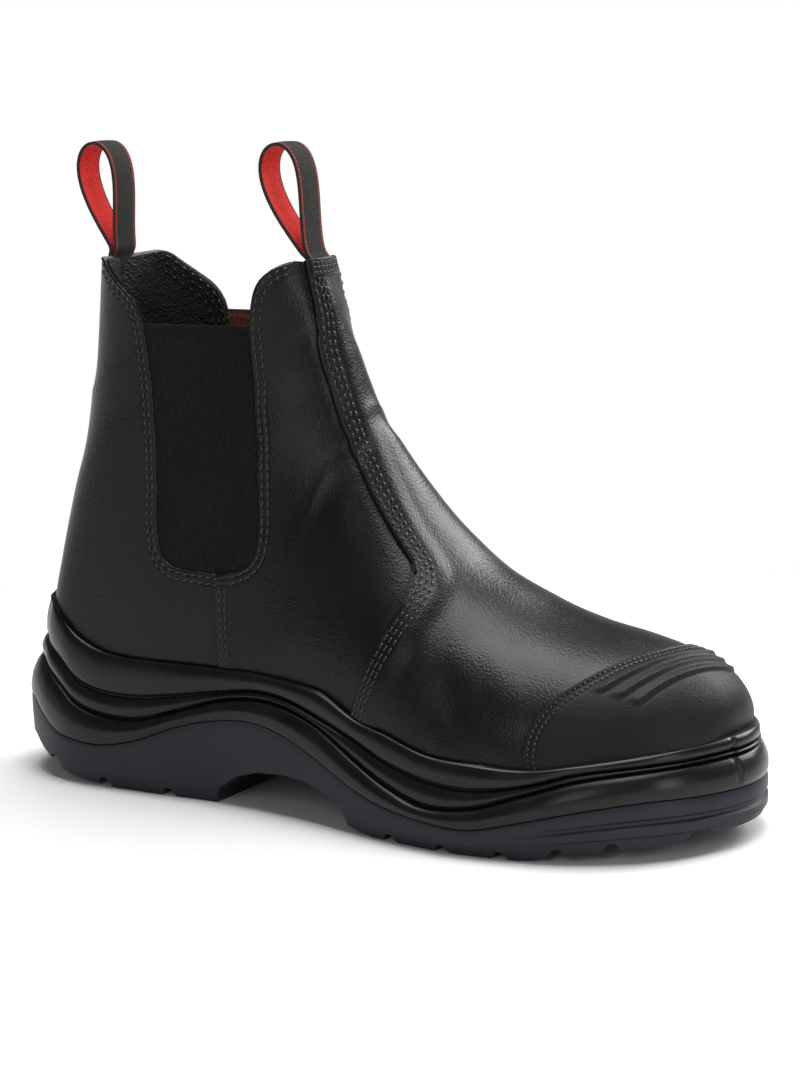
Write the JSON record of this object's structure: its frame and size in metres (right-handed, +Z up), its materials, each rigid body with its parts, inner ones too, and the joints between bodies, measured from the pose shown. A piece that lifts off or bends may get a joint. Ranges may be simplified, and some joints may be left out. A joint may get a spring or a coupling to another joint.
{
  "type": "side gore work boot",
  "caption": "Ankle-high pull-on work boot with elastic side gores, a toe cap, two pull loops and a cupped, lugged sole.",
  "frame": {"origin": "middle of the boot's length and width, on the floor that it stands on", "axes": "+X towards the toe, -Y towards the outer side, +Z up"},
  "size_m": [0.3054, 0.116, 0.2451],
  "materials": {
    "outsole": "satin moulded, dark navy",
    "midsole": "smooth moulded foam skin, brown-black",
    "upper_leather": "fine grain, semi-matt",
    "toe_cap": "coated, matt",
    "gore": "ribbed elastic",
    "loop_webbing": "woven webbing",
    "insole": "brushed textile over foam"
  },
  "bodies": {
    "root": {"outsole": "outsole", "midsole": "midsole", "upper": "upper_leather", "toe_cap": "toe_cap", "gore_outer": "gore", "gore_inner": "gore", "loop_back": "loop_webbing", "loop_front": "loop_webbing", "insole": "insole"}
  },
  "joints": []
}
